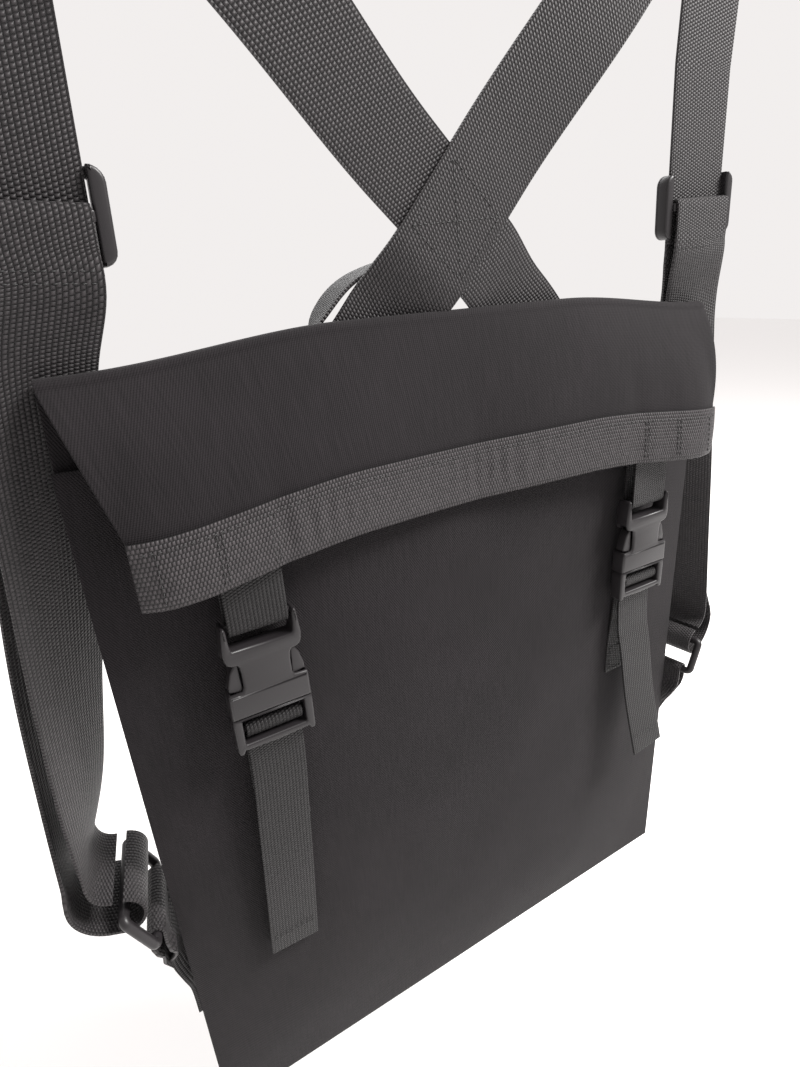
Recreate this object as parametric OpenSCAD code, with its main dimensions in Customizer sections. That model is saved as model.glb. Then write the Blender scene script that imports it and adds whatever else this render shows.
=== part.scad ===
// Fold-over bag on two crossed shoulder straps.
// The origin is the middle of the line that the two strap loops hang on.
// X runs to the right, Y towards the wearer's back, Z up.

/* [Bag body] */
// Width of the bag over its side seams
body_w = 340; // [300:1:380]
// Height from the fold to the bottom seam
body_h = 401; // [350:1:440]
// How far each panel bulges from the seam plane
bulge = 8.5; // [6:0.5:14]
// Thickness of the canvas with its facing
canvas_t = 1.5; // [1:0.1:2]

/* [Flap] */
// Length of the flap from the fold to its lower edge
flap_l = 80; // [60:1:110]
// Half width of the flap at its hem
hem_half = 154; // [140:1:165]
// Visible height of the hem webbing
hem_h = 26; // [20:1:30]
// How far the hem's middle stands in front of the fold
hem_mid_out = 15; // [13:0.5:18]
// How much further the hem's ends stand out
hem_end_out = 16; // [10:1:20]

/* [Shoulder straps] */
// Width of the shoulder webbing
strap_w = 40; // [38:1:42]
// Thickness of the webbing
web_t = 1.4; // [1.2:0.1:1.5]
// Half the distance between the two hanging points
hang_half = 155; // [145:1:165]
// Lean of the right strap's back leg from the horizontal
right_lean = 49; // [44:1:52]
// Lean of the left strap's back leg from the horizontal
left_lean = 43; // [42:1:50]
// Radius of the webbing's turn over the hanging bar
loop_r = 7; // [6:0.5:9]
// Height of the strap crossing above the fold
cross_up = 45; // [40:1:60]

/* [Buckles] */
// Distance of each buckle from the bag's middle
buckle_x = 113; // [100:1:125]
// Width of the buckle webbing
tape_w = 25; // [20:1:25]
// Length of the free tail below the left buckle
left_tail = 133; // [100:1:160]
// Length of the free tail below the right buckle
right_tail = 114; // [100:1:160]
// How far the left tail's end stands off the bag
left_kick = 4; // [0:1:40]
// How far the right tail's end stands off the bag
right_kick = 20; // [0:1:40]
// How far out the left tail's end hangs from its buckle's middle line
left_drift = 7; // [0:1:14]
// How far out the right tail's end hangs from its buckle's middle line
right_drift = 11; // [0:1:14]

/* [Hidden] */

CANVAS = [0.07, 0.07, 0.075];
WEBBING = [0.12, 0.12, 0.13];
PLASTIC = [0.16, 0.16, 0.17];
THREAD = [0.05, 0.05, 0.05];

gap = 0.3;            // clearance between separate pieces
pi = 3.14159265;
seam_y = 4;           // depth of the side seams behind the hanging line
half_w = body_w / 2;

// Fold lines of the two strap loops
right_tilt = (90 - right_lean) / 2;
left_tilt = (90 - left_lean) / 2;
turn_drop = loop_r * pi / 2;
cross_x = 1;          // the crossing sits a little right of the middle
function leg_rise(lean, tilt, cx) =
    (hang_half + turn_drop * sin(tilt) - cx) * tan(lean) - turn_drop * cos(tilt);
right_rise = leg_rise(right_lean, right_tilt, cross_x);
left_rise = leg_rise(left_lean, left_tilt, -cross_x);
cross_z = -(right_rise + left_rise) / 2;

// Fold of the bag
fold_z = cross_z - cross_up;
roll_r = 2.2;         // outer radius of the back panel's roll at the fold
roll_half = 168;      // half width of the roll
hinge_y = 4.4;
hinge_z = fold_z - roll_r;
bottom_z = fold_z - body_h;
mouth_z = fold_z - 30;

// ---------- shared shapes ----------

function unit(v) = v / norm(v);
function across(w, t) = unit(w - (w * t) * t);
function clamp01(u) = max(0, min(1, u));
function ease(u) = clamp01(u) * clamp01(u) * (3 - 2 * clamp01(u));
function mix(a, b, u) = a + (b - a) * u;

// One value of a smooth curve through four neighbouring stations
function curve(a, b, c, d, t) =
    0.5 * (2 * b + (c - a) * t + (2 * a - 5 * b + 4 * c - d) * t * t
        + (3 * b - a - 3 * c + d) * t * t * t);

// Stations along a smooth curve, each [x, y, z, wx, wy, wz]
function smooth(p, n) = let (last = len(p) - 1)
    [for (i = [0:last - 1]) for (j = [0:n - 1])
        curve(p[max(i - 1, 0)], p[i], p[i + 1], p[min(i + 2, last)], j / n), p[last]];

function place(s) = [s[0], s[1], s[2]];
function widthways(s) = [s[3], s[4], s[5]];

// A closed solid between two grids of points of the same size
module slab(front, back) {
    rows = len(front);
    cols = len(front[0]);
    count = rows * cols;
    points = [for (r = back) for (p = r) p, for (r = front) for (p = r) p];
    function b(i, j) = i * cols + j;
    function f(i, j) = count + i * cols + j;
    faces = concat(
        [for (i = [0:rows - 2]) for (j = [0:cols - 2]) for (k = [0:1])
            k == 0 ? [f(i, j), f(i, j + 1), f(i + 1, j + 1)] : [f(i, j), f(i + 1, j + 1), f(i + 1, j)]],
        [for (i = [0:rows - 2]) for (j = [0:cols - 2]) for (k = [0:1])
            k == 0 ? [b(i, j), b(i + 1, j + 1), b(i, j + 1)] : [b(i, j), b(i + 1, j), b(i + 1, j + 1)]],
        [for (i = [0:rows - 2]) for (k = [0:1])
            k == 0 ? [f(i, 0), f(i + 1, 0), b(i + 1, 0)] : [f(i, 0), b(i + 1, 0), b(i, 0)]],
        [for (i = [0:rows - 2]) for (k = [0:1]) k == 0
            ? [f(i, cols - 1), b(i + 1, cols - 1), f(i + 1, cols - 1)]
            : [f(i, cols - 1), b(i, cols - 1), b(i + 1, cols - 1)]],
        [for (j = [0:cols - 2]) for (k = [0:1])
            k == 0 ? [f(0, j), b(0, j + 1), f(0, j + 1)] : [f(0, j), b(0, j), b(0, j + 1)]],
        [for (j = [0:cols - 2]) for (k = [0:1]) k == 0
            ? [f(rows - 1, j), f(rows - 1, j + 1), b(rows - 1, j + 1)]
            : [f(rows - 1, j), b(rows - 1, j + 1), b(rows - 1, j)]]);
    polyhedron(points = points, faces = faces, convexity = 8);
}

// A band of webbing of width w and thickness t along stations
module band(stations, w, t) {
    last = len(stations) - 1;
    frames = [for (i = [0:last]) let (
        p = place(stations[i]),
        dir = unit(place(stations[min(i + 1, last)]) - place(stations[max(i - 1, 0)])),
        side = across(widthways(stations[i]), dir),
        out = cross(side, dir)) [p, side, out]];
    front = [for (f = frames) [f[0] - f[1] * w / 2 + f[2] * t / 2, f[0] + f[1] * w / 2 + f[2] * t / 2]];
    back = [for (f = frames) [f[0] - f[1] * w / 2 - f[2] * t / 2, f[0] + f[1] * w / 2 - f[2] * t / 2]];
    slab(front, back);
}

module rounded_plate(w, h, t, r) {
    linear_extrude(t, center = true) {
        square([w - 2 * r, h], center = true);
        square([w, h - 2 * r], center = true);
        for (x = [-1, 1], y = [-1, 1])
            translate([x * (w / 2 - r), y * (h / 2 - r)]) circle(r, $fn = 32);
    }
}

// Stands a flat shape up, facing the front
module upright() {
    rotate([90, 0, 0]) children();
}

// Draws a right-hand piece, mirrored for the left
module handed(side) {
    if (side > 0) children();
    else mirror([1, 0, 0]) children();
}

// ---------- bag body ----------

half_seam = 0.9;      // depth from the seam plane to each panel's middle
belly = 130;          // height over which the bulge grows from the bottom seam
settle = 60;          // height below the fold over which the bulge fades

// Share of the full bulge at a place on a panel
function fullness(x, z) =
    (1 - pow(abs(x) / half_w, 4)) * (1 - pow(1 - clamp01((z - bottom_z) / belly), 3));
function front_y(x, z) = seam_y - half_seam
    - bulge * fullness(x, z) * mix(1, 0.8, ease((z - mouth_z) / settle + 1));
function back_y(x, z) = let (top = ease((z - fold_z) / settle + 1)) seam_y + half_seam
    + bulge * fullness(x, z) * (1 - top) + (hinge_y + roll_r - canvas_t / 2 - seam_y - half_seam) * top;

function steps(a, b, n) = [for (i = [0:n]) mix(a, b, i / n)];
panel_x = [for (u = steps(-1, 1, 18)) half_w * sin(90 * u)];

binding_deep = 12;

module front_panel() color(CANVAS) {
    rows = concat(steps(bottom_z + 2, mouth_z - settle, 9),
        steps(mouth_z - settle * 0.7, mouth_z - binding_deep, 2), [mouth_z]);
    slab([for (z = rows) [for (x = panel_x) [x, front_y(x, z) - canvas_t / 2, z]]],
        [for (z = rows) [for (x = panel_x) [x, front_y(x, z) + canvas_t / 2, z]]]);
}

// The back panel runs up to the fold and rolls over it to the front
back_rows = concat(steps(bottom_z + 2, fold_z - settle - 14, 9), steps(fold_z - settle, hinge_z, 6));
roll_angles = steps(15, 150, 9);
function back_point(x, r, out) = r < len(back_rows)
    ? [x, back_y(x, back_rows[r]) + out, back_rows[r]]
    : let (a = roll_angles[r - len(back_rows)], q = roll_r - canvas_t / 2 + out)
        [x * roll_half / half_w, hinge_y + q * cos(a), hinge_z + q * sin(a)];
function back_skin(out) = [for (r = [0:len(back_rows) + len(roll_angles) - 1])
    [for (x = panel_x) back_point(x, r, out)]];

module back_panel() color(CANVAS)
    slab(back_skin(-canvas_t / 2), back_skin(canvas_t / 2));

// One folded sheet: down inside the front panel, over the bottom and up inside the back panel
module lining() {
    wall = 0.5;
    floor_z = bottom_z + 14;
    columns = [for (u = steps(-1, 1, 14)) (half_w - 12) * sin(90 * u)];
    levels = steps(mouth_z - binding_deep - 2, floor_z, 8);
    function front_row(z, inset) = [for (x = columns) [x, front_y(x, z) + canvas_t / 2 + inset, z]];
    function back_row(z, inset) = [for (x = columns) [x, back_y(x, z) - canvas_t / 2 - inset, z]];
    function folded(inset, low) = concat([for (z = levels) front_row(max(z, low), inset)],
        [for (i = [len(levels) - 1:-1:0]) back_row(max(levels[i], low), inset)]);
    color(CANVAS) slab(folded(2 * gap + wall, floor_z + wall), folded(2 * gap, floor_z));
}

// Tape folded over the upper edge of the front panel
module mouth_binding() {
    tape = 1.0;
    columns = [for (x = panel_x) if (abs(x) < half_w - 15) x];
    function folded(out, over) = [for (p = [[-out, -binding_deep], [-out, over], [out, over],
        [out, -binding_deep]]) [for (x = columns)
        [x, front_y(x, mouth_z + min(p[1], 0)) + p[0], mouth_z + p[1]]]];
    inner = canvas_t / 2 + 0.1;
    color(WEBBING) slab(folded(inner + tape, 0.2 + tape), folded(inner, 0.2));
}

// ---------- flap ----------

flap_arc = 160;       // the flap starts at this angle round the fold
flap_r = roll_r + gap + canvas_t / 2;

function hem_out(x) = hem_mid_out + hem_end_out * pow(abs(x) / hem_half, 1.2);
function hem_drop(x) = sqrt(flap_l * flap_l - pow(hem_out(x) - flap_r, 2));

// Flap half width at a share u of its length
hem_top = 1 - hem_h / flap_l;
function flap_half(u) = mix(roll_half, hem_half, clamp01(u / hem_top));

// Middle surface of the flap at x and a share u of its length
function flap_mid(x, u) = u < 0
    ? let (a = mix(180, flap_arc, -u)) [x, hinge_y + flap_r * cos(a), hinge_z + flap_r * sin(a)]
    : [x, hinge_y - flap_r - (hem_out(x) - flap_r) * (1 - pow(1 - min(u, 1), 3)),
        hinge_z - hem_drop(x) * u];
function flap_out(x, u) = let (d = flap_mid(x, u + 0.01) - flap_mid(x, u - 0.01))
    unit([0, d[2], -d[1]]);
function on_flap(x, u, out) = flap_mid(x, u) + flap_out(x, u) * out;

function flap_row(u, out) = [for (v = steps(-1, 1, 20)) on_flap(v * flap_half(u), u, out)];

module flap() color(CANVAS) {
    rows = concat([-1, -0.6, -0.3], steps(0, hem_top, 8), [mix(hem_top, 1, 0.5), 1]);
    slab([for (u = rows) flap_row(u, -canvas_t / 2)], [for (u = rows) flap_row(u, canvas_t / 2)]);
}

// Webbing folded round the flap's lower edge
hem_t = 1.3;
hem_in = canvas_t / 2 + 0.2;
module flap_hem() {
    half_way = mix(hem_top, 1, 0.5);
    function folded(out, low) = [flap_row(hem_top, out), flap_row(half_way, out), flap_row(low, out),
        flap_row(low, -out), flap_row(half_way, -out), flap_row(hem_top, -out)];
    color(WEBBING)
        slab(folded(hem_in, 1 + 0.3 / flap_l), folded(hem_in + hem_t, 1 + (0.3 + hem_t) / flap_l));
}

// ---------- shoulder straps ----------

cross_y = 1.6;        // depth of the front strap at the crossing
behind_fold = hinge_y + roll_r + 1.8 + web_t / 2;
sewn_y = seam_y + half_seam + bulge + canvas_t / 2 + 1.75 + web_t / 2;

// The leg's depth: flat at the crossing, behind the fold below, in front of the bar above
function leg_y(along, flat) = along < 0
    ? mix(flat, behind_fold, ease((-along - 22) / 20))
        + (sewn_y - behind_fold) * ease((-along - 56) / 60)
    : mix(flat, -loop_r, ease((along - 32) / 90));

// Stations of a strap from its sewn end to its ring, drawn for the right-hand side
function strap_path(lean, tilt, rise, cx, flat) = let (
    dir = [cos(lean), 0, sin(lean)],
    wide = [sin(lean), 0, -cos(lean)],
    bar = [cos(tilt), 0, -sin(tilt)],
    up = [sin(tilt), 0, cos(tilt)],
    mid = [hang_half, 0, cross_z + rise],
    advance = loop_r * tan(tilt) * pi / 180,
    crossing = [cx, 0, cross_z],
    leg_l = norm(mid + turn_drop * up - crossing) - turn_drop / cos(tilt))
    concat(
        [for (s = concat(steps(-118, -22, 16), [0, 30], steps(50, leg_l - 10, 5)))
            concat(crossing + dir * s + [0, leg_y(s, flat), 0], wide)],
        [for (a = steps(0, 180, 12)) concat(
            mid + bar * advance * (a - 90) + loop_r * (sin(a) * up - [0, cos(a), 0]),
            cos(tilt) * bar - sin(tilt) * ([0, sin(a), 0] + cos(a) * up))]);

// The side run: straight through the slider, then outward and down to the ring
slider_z = fold_z + 50;
run_x = hang_half + 3.5;
run_slope = 0.048;    // outward lean of the straight run
run_wide = unit([1, 0, run_slope]);
function run_point(z) = [run_x + run_slope * (slider_z - z), loop_r, z];

ring_x = 186;
ring_y = 14;
ring_z = fold_z - 224;
ring_turn = 80;       // how far the lower strap is twisted off the front
ring_loop = 9;        // radius of the webbing's turn round the ring
ring_w = [-cos(ring_turn), sin(ring_turn), 0];
ring_n = [-sin(ring_turn), -cos(ring_turn), 0];
function ring_point(h, v) = [ring_x, ring_y, ring_z] + ring_n * h + [0, 0, v];
function twist(a) = [cos(a), -sin(a), 0];

module shoulder_strap(side, lean, tilt, rise, cx, flat) color(WEBBING) handed(side) {
    over = strap_path(lean, tilt, rise, cx, flat);
    run = [for (z = [slider_z + 62, slider_z + 30, slider_z - 20]) concat(run_point(z), run_wide)];
    drop = smooth([
        concat(run_point(slider_z - 20), run_wide),
        concat([166.5, 11.6, fold_z + 5], twist(2)),
        concat([169.5, 16, fold_z - 12], twist(6)),
        concat([176, 23, fold_z - 56], twist(24)),
        concat([188, 30, fold_z - 112], twist(44)),
        concat([198, 29, fold_z - 170], twist(62)),
        concat(ring_point(-20, 12), twist(ring_turn))], 4);
    turn_r = 18;
    bend = [for (a = steps(0, 80, 5)) concat(
        ring_point(-20 + turn_r * (1 - cos(a)), 10 - turn_r * sin(a)), -ring_w)];
    eye = [for (a = steps(-90, 80, 8)) concat(
        ring_point(ring_loop * cos(a), ring_loop * sin(a)), -ring_w)];
    band(concat(over, run, [for (i = [1:len(drop) - 1]) drop[i]], bend, eye), strap_w, web_t);
}

module left_shoulder_strap()
    shoulder_strap(-1, left_lean, left_tilt, left_rise, -cross_x, cross_y + web_t + gap);
module right_shoulder_strap()
    shoulder_strap(1, right_lean, right_tilt, right_rise, cross_x, cross_y);

// ---------- sliders ----------

slider_w = 52;
slider_h = 30;
bar_t = 2.2;          // thickness of the slider's bars
rail = 4.6;
outer_y = loop_r + web_t / 2 + gap + bar_t / 2;
inner_y = loop_r - 1.5 * web_t - 2 * gap - bar_t / 2;

// Three-bar slider: the strap runs behind the centre bar and in front of the other two
module slider(side) color(PLASTIC) handed(side) translate([run_x, 0, slider_z])
    rotate([0, -atan(run_slope), 0]) {
        for (z = [-1, 1]) translate([0, outer_y, z * (slider_h / 2 - 1.9)])
            rotate([0, 90, 0]) linear_extrude(slider_w - 2 * rail + 1, center = true)
                rounded_bar(3.8, bar_t);
        translate([0, inner_y, 0]) rotate([0, 90, 0])
            linear_extrude(slider_w - 2 * rail + 1, center = true) rounded_bar(4.2, bar_t);
        for (x = [-1, 1]) translate([x * (slider_w - rail) / 2, 0, 0])
            rotate([90, 0, 90]) linear_extrude(rail, center = true) slider_rail();
    }

// Section of a flat bar with round edges
module rounded_bar(w, t) {
    square([w - t, t], center = true);
    for (x = [-1, 1]) translate([x * (w - t) / 2, 0]) circle(t / 2, $fn = 24);
}

// Side outline of a slider's rail, in Y and Z
module slider_rail() {
    back = outer_y + bar_t / 2;
    front = inner_y - bar_t / 2;
    r = 1.5;
    edge = 4.4;
    translate([front, -5]) square([back - front, 10]);
    translate([back - edge, -slider_h / 2 + r]) square([edge, slider_h - 2 * r]);
    translate([back - edge + r, -slider_h / 2]) square([edge - 2 * r, slider_h]);
    for (y = [back - edge + r, back - r], z = [-1, 1])
        translate([y, z * (slider_h / 2 - r)]) circle(r, $fn = 24);
    for (s = [-1, 1]) polygon([[front, s * 5], [back - edge, s * 5], [back - edge, s * 9.5]]);
}
module left_slider() slider(-1);
module right_slider() slider(1);

// The strap's end: sewn round the slider's centre bar and run down to the ring
module strap_return(side) color(WEBBING) handed(side) {
    eye_r = bar_t / 2 + gap + web_t / 2;
    c = run_point(slider_z) + [0, inner_y - loop_r, 0];
    hook = concat(
        [for (z = [-9, -5]) concat(c + [0, eye_r, z], run_wide)],
        [for (a = steps(0, 180, 8)) concat(c + [0, eye_r * cos(a), 1.2 + eye_r * sin(a)], run_wide)]);
    down = smooth([
        concat(c + [0.5, -eye_r, -10], run_wide),
        concat(run_point(slider_z - 22) + [0, -5.4, 0], run_wide),
        concat([166.5, 8.4, fold_z + 5], twist(2)),
        concat([170, 11.6, fold_z - 20], twist(10)),
        concat([175, 14.6, fold_z - 60], twist(28)),
        concat([184, 17, fold_z - 118], twist(48)),
        concat([191, 17, fold_z - 170], twist(62)),
        concat(ring_point(-11, ring_loop + 11), twist(ring_turn))], 4);
    bend = [for (a = steps(10, 84, 4)) concat(
        ring_point(-10.6 + 9 * (1 - cos(a)), ring_loop + 9 - 9 * sin(a)), -ring_w)];
    band(concat(hook, down, bend), strap_w, web_t);
}
module left_strap_return() strap_return(-1);
module right_strap_return() strap_return(1);

// ---------- rings and their tabs ----------

ring_bar = 2.4;       // radius of the ring's bar
ring_pitch = 22;      // distance between the ring's two long bars
ring_len = 46;        // length over the middle of its end bars
ring_lean = 26;       // lean of the ring from upright

module ring(side) color(PLASTIC) handed(side)
    translate([ring_x, ring_y, ring_z]) rotate([ring_lean, 0, 180 - ring_turn]) {
        for (z = [0, -ring_pitch]) translate([0, 0, z])
            rotate([0, 90, 0]) cylinder(h = ring_len, r = ring_bar, center = true, $fn = 32);
        for (x = [-1, 1]) translate([x * ring_len / 2, 0, 0]) {
            translate([0, 0, -ring_pitch]) cylinder(h = ring_pitch, r = ring_bar, $fn = 32);
            for (z = [0, -ring_pitch]) translate([0, 0, z]) sphere(ring_bar, $fn = 32);
        }
    }
module left_ring() ring(-1);
module right_ring() ring(1);

// Tab folded round the ring's lower bar and sewn to the back of the bag
module ring_tab(side) {
    eye = ring_bar + gap + web_t / 2 + 0.2;
    c = ring_point(ring_pitch * sin(ring_lean), -ring_pitch * cos(ring_lean));
    wide = twist(ring_turn);
    sewn = [half_w - 16, seam_y + 9.6, fold_z - 330];
    half = web_t / 2 + 0.25;
    function layer(s) = [
        concat(sewn + [0, -s * half, 0], twist(0)),
        concat(sewn + [1, 0.4 - s * half, 24], twist(2)),
        concat(sewn + [7, 4 - s * half, 44], twist(24)),
        concat(mix(c, sewn + [7, 4, 44], 0.6) + [1, 2.5, 0] + ring_n * s * eye * 0.6, twist(46)),
        concat(c + ring_n * s * eye * 0.9 - [0, 0, 9], wide)];
    up = smooth(layer(1), 3);
    down = smooth([for (i = [4:-1:0]) layer(-1)[i]], 3);
    turn = [for (a = steps(-20, 200, 10)) concat(
        c + ring_n * eye * cos(a) + [0, 0, eye * sin(a)], wide)];
    color(WEBBING) handed(side) band(concat(up, turn, down), strap_w - 4, web_t);
}
module left_ring_tab() ring_tab(-1);
module right_ring_tab() ring_tab(1);

// ---------- buckles ----------

tape_bar = 1.9;       // radius of the socket's webbing bar
tape_eye = tape_bar + gap + web_t / 2;
buckle_y = hinge_y - hem_out(buckle_x - tape_w / 2) + hem_in + hem_t + 0.6 + web_t / 2 + tape_eye;
buckle_z = fold_z - 99;
buckle_w = 35;
socket_l = 36;        // from the webbing bar to the mouth
plug_l = 22;          // the plug's length outside the socket
channel_w = 32.4;
channel_t = 6.2;
ladder_z = -socket_l - 12;

module at_buckle(side) {
    handed(side) translate([buckle_x, buckle_y, buckle_z]) children();
}

// Webbing from the hem, round the socket's bar and back up
module buckle_strap(side) color(WEBBING) at_buckle(side) {
    top = 24;
    wide = [1, 0, 0];
    band(concat(
        [for (z = [top, top / 2, 2]) concat([0, -tape_eye, z], wide)],
        [for (a = steps(180, 360, 10)) concat([0, tape_eye * cos(a), tape_eye * sin(a)], wide)],
        [for (z = [2, top / 2, top]) concat([0, tape_eye, z], wide)]), tape_w, web_t);
}
module left_buckle_strap() buckle_strap(-1);
module right_buckle_strap() buckle_strap(1);

// Upright bar of the buckle body between two heights, with round edges
module buckle_block(low, high, w, t, r) {
    translate([0, 0, (low + high) / 2]) rounded_plate(w, t, high - low, r);
}

module buckle_socket(side) color(PLASTIC) at_buckle(side) {
    face = -8.5;
    difference() {
        union() {
            buckle_block(-socket_l, face, buckle_w, 9, 2.6);
            for (x = [-1, 1]) translate([x * 15, 0, 0]) buckle_block(face - 4, 2, 3.6, 5.4, 1.6);
        }
        translate([-channel_w / 2, -channel_t / 2, -socket_l - 1]) cube([channel_w, channel_t, 24]);
        for (x = [-1, 1]) translate([x * 15.5 - 3.5, -5, -28]) cube([7, 10, 12.7]);
    }
    rotate([0, 90, 0]) cylinder(h = 31, r = tape_bar, center = true, $fn = 32);
}
module left_buckle_socket() buckle_socket(-1);
module right_buckle_socket() buckle_socket(1);

// Plug: two sprung arms, a guide tongue and a ladder-lock end
module buckle_plug(side) color(PLASTIC) at_buckle(side) {
    top = -socket_l - gap;
    low = -socket_l - plug_l;
    slot_top = ladder_z + 4.4;
    slot_low = ladder_z - 5.4;
    difference() {
        buckle_block(low, top, buckle_w, 8, 2.4);
        translate([-13, -5, slot_low]) cube([26, 10, slot_top - slot_low]);
        translate([-13, 0.6, low - 1]) cube([26, 5, slot_low - low + 2]);
    }
    translate([0, 0, ladder_z]) rotate([0, 90, 0])
        cylinder(h = 27, r = 1.5, center = true, $fn = 32);
    for (x = [-1, 1]) scale([x, 1, 1]) upright() linear_extrude(channel_t - 0.8, center = true)
        polygon([[9.6, top - 1], [12.6, top - 1], [12.9, -30], [15.8, -27.2], [15.8, -22],
            [14.4, -17.6], [12.2, -16.4], [11.0, -17.8], [11.6, -24], [10.6, -30]]);
    upright() linear_extrude(channel_t - 1.4, center = true)
        polygon([[-3.4, top - 1], [3.4, top - 1], [2.8, -20], [1.6, -18], [-1.6, -18], [-2.8, -20]]);
}
module left_buckle_plug() buckle_plug(-1);
module right_buckle_plug() buckle_plug(1);

// Free end of the lower webbing, from the ladder-lock's bar down
module buckle_tail(side, len, kick, drift) color(WEBBING) at_buckle(side) {
    eye = 1.5 + gap + web_t / 2;
    low = -socket_l - plug_l;
    wide = [1, 0, 0];
    end_z = low - len;
    end_y = front_y(buckle_x, buckle_z + end_z) - canvas_t / 2 - kick - buckle_y;
    wrap = [for (a = steps(-20, 180, 10)) concat([0, eye * cos(a), ladder_z + eye * sin(a)], wide)];
    hang = smooth([
        concat([0, -eye + 0.1, ladder_z - 1], wide),
        concat([0, -1.2, ladder_z - 3.2], wide),
        concat([0, 1.5, ladder_z - 5.6], wide),
        concat([0, 1.7, low], wide),
        concat([0, mix(1.7, end_y, 0.01), low - 9], wide),
        concat([0.08 * drift, mix(1.7, end_y, 0.05), low - 24], wide),
        concat([0.3 * drift, mix(1.7, end_y, 0.18), mix(low, end_z, 0.36)], wide),
        concat([0.62 * drift, mix(1.7, end_y, 0.46), mix(low, end_z, 0.66)], wide),
        concat([drift, end_y, end_z], wide)], 4);
    band(concat(wrap, hang), tape_w, web_t);
}
module left_buckle_tail() buckle_tail(-1, left_tail, left_kick, left_drift);
module right_buckle_tail() buckle_tail(1, right_tail, right_kick, right_drift);

// Sewn end of the lower webbing, from the bag up to the back of the plug
module anchor_strap(side) {
    function on_bag(z) =
        front_y(buckle_x, buckle_z + z) - canvas_t / 2 - gap - web_t / 2 - 0.5 - buckle_y;
    wide = [1, 0, 0];
    color(WEBBING) at_buckle(side) band(smooth([
        concat([0, on_bag(-116), -116], wide),
        concat([0, on_bag(-96), -96], wide),
        concat([0, 6.4, -70], wide),
        concat([0, 5.2, -58], wide),
        concat([0, 5.2, -49], wide)], 4), tape_w, web_t);
}
module left_anchor_strap() anchor_strap(-1);
module right_anchor_strap() anchor_strap(1);

// ---------- patch, handle and stitching ----------

// Patch over the straps' sewn ends on the back of the bag
patch_y = sewn_y + web_t / 2 + 0.8;
module strap_patch() color(WEBBING)
    translate([0, patch_y, fold_z - 50]) upright() rounded_plate(200, 52, 1, 6);

handle_w = 20;
module grab_handle() {
    rise = [[60, 1.8, -56, 1, 0, 0], [60, 1.8, -40, 1, 0, 0], [61, 2, -22, 1, 0, 0],
        [63, 3.6, -4, 0.7, 0.7, 0], [57, 3, 12, 0.1, 1, 0], [38, 2.6, 27, 0, 1, 0]];
    function left(p) = [-p[0], patch_y + p[1], p[2] + fold_z, p[3], p[4], p[5]];
    function right(p) = [p[0], patch_y + p[1], p[2] + fold_z, -p[3], p[4], p[5]];
    color(WEBBING) band(smooth(concat([for (p = rise) left(p)], [[0, patch_y + 2.6, 34 + fold_z, 0, 1, 0]],
        [for (i = [len(rise) - 1:-1:0]) right(rise[i])]), 4), handle_w, web_t);
}

// Box stitching that joins the two straps where they cross
module cross_stitching() {
    inset = strap_w / 2 - 4;
    n1 = [sin(right_lean), -cos(right_lean)];
    n2 = [sin(left_lean), cos(left_lean)];
    det = n1[0] * n2[1] - n1[1] * n2[0];
    function meet(a, b) = [a * n2[1] - b * n1[1], b * n1[0] - a * n2[0]] / det;
    corners = [meet(inset, inset), meet(-inset, inset), meet(-inset, -inset), meet(inset, -inset)];
    color(THREAD) translate([cross_x, cross_y - web_t / 2 - 0.25, cross_z]) upright()
        linear_extrude(0.4, center = true) {
            for (i = [0:3]) thread_line(corners[i], corners[(i + 1) % 4]);
            for (i = [0:1]) thread_line(corners[i], corners[i + 2]);
        }
}
module thread_line(p, q) {
    d = q - p;
    translate(p) rotate(atan2(d[1], d[0])) translate([-0.4, -0.4]) square([norm(d) + 0.8, 0.8]);
}

front_panel();
back_panel();
lining();
mouth_binding();
flap();
flap_hem();
strap_patch();
grab_handle();
cross_stitching();
left_shoulder_strap();
right_shoulder_strap();
left_strap_return();
right_strap_return();
left_slider();
right_slider();
left_ring();
right_ring();
left_ring_tab();
right_ring_tab();
left_buckle_strap();
right_buckle_strap();
left_buckle_socket();
right_buckle_socket();
left_buckle_plug();
right_buckle_plug();
left_buckle_tail();
right_buckle_tail();
left_anchor_strap();
right_anchor_strap();
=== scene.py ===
import math
from functools import partial

import bmesh
import bpy
from bpy.props import FloatProperty, FloatVectorProperty, PointerProperty
from bpy.types import Operator, Panel, PropertyGroup
from mathutils import Matrix, Vector, noise


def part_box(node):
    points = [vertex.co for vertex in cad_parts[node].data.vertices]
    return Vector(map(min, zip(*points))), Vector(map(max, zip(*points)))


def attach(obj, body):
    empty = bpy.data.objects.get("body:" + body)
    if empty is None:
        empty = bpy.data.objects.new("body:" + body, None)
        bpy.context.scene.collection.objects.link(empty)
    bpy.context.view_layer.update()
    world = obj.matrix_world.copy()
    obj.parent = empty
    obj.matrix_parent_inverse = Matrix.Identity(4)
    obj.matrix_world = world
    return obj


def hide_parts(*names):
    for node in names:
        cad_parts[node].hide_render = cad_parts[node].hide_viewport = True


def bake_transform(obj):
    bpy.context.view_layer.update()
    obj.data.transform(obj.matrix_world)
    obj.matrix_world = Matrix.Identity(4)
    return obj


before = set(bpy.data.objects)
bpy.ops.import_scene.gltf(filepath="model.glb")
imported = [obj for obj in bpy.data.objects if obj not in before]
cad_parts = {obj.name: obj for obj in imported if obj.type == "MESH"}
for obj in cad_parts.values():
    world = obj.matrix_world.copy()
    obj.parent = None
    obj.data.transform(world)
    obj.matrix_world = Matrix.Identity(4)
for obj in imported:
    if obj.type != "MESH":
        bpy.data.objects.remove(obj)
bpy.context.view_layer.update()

bl_info = {
    "name": "Fold-over harness bag",
    "version": (1, 0, 0),
    "blender": (4, 5, 0),
    "location": "View3D > Sidebar > Harness Bag",
    "description": "Builds a canvas bag with a hemmed flap, side-release buckles and crossed shoulder straps",
    "category": "Object",
}

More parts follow.
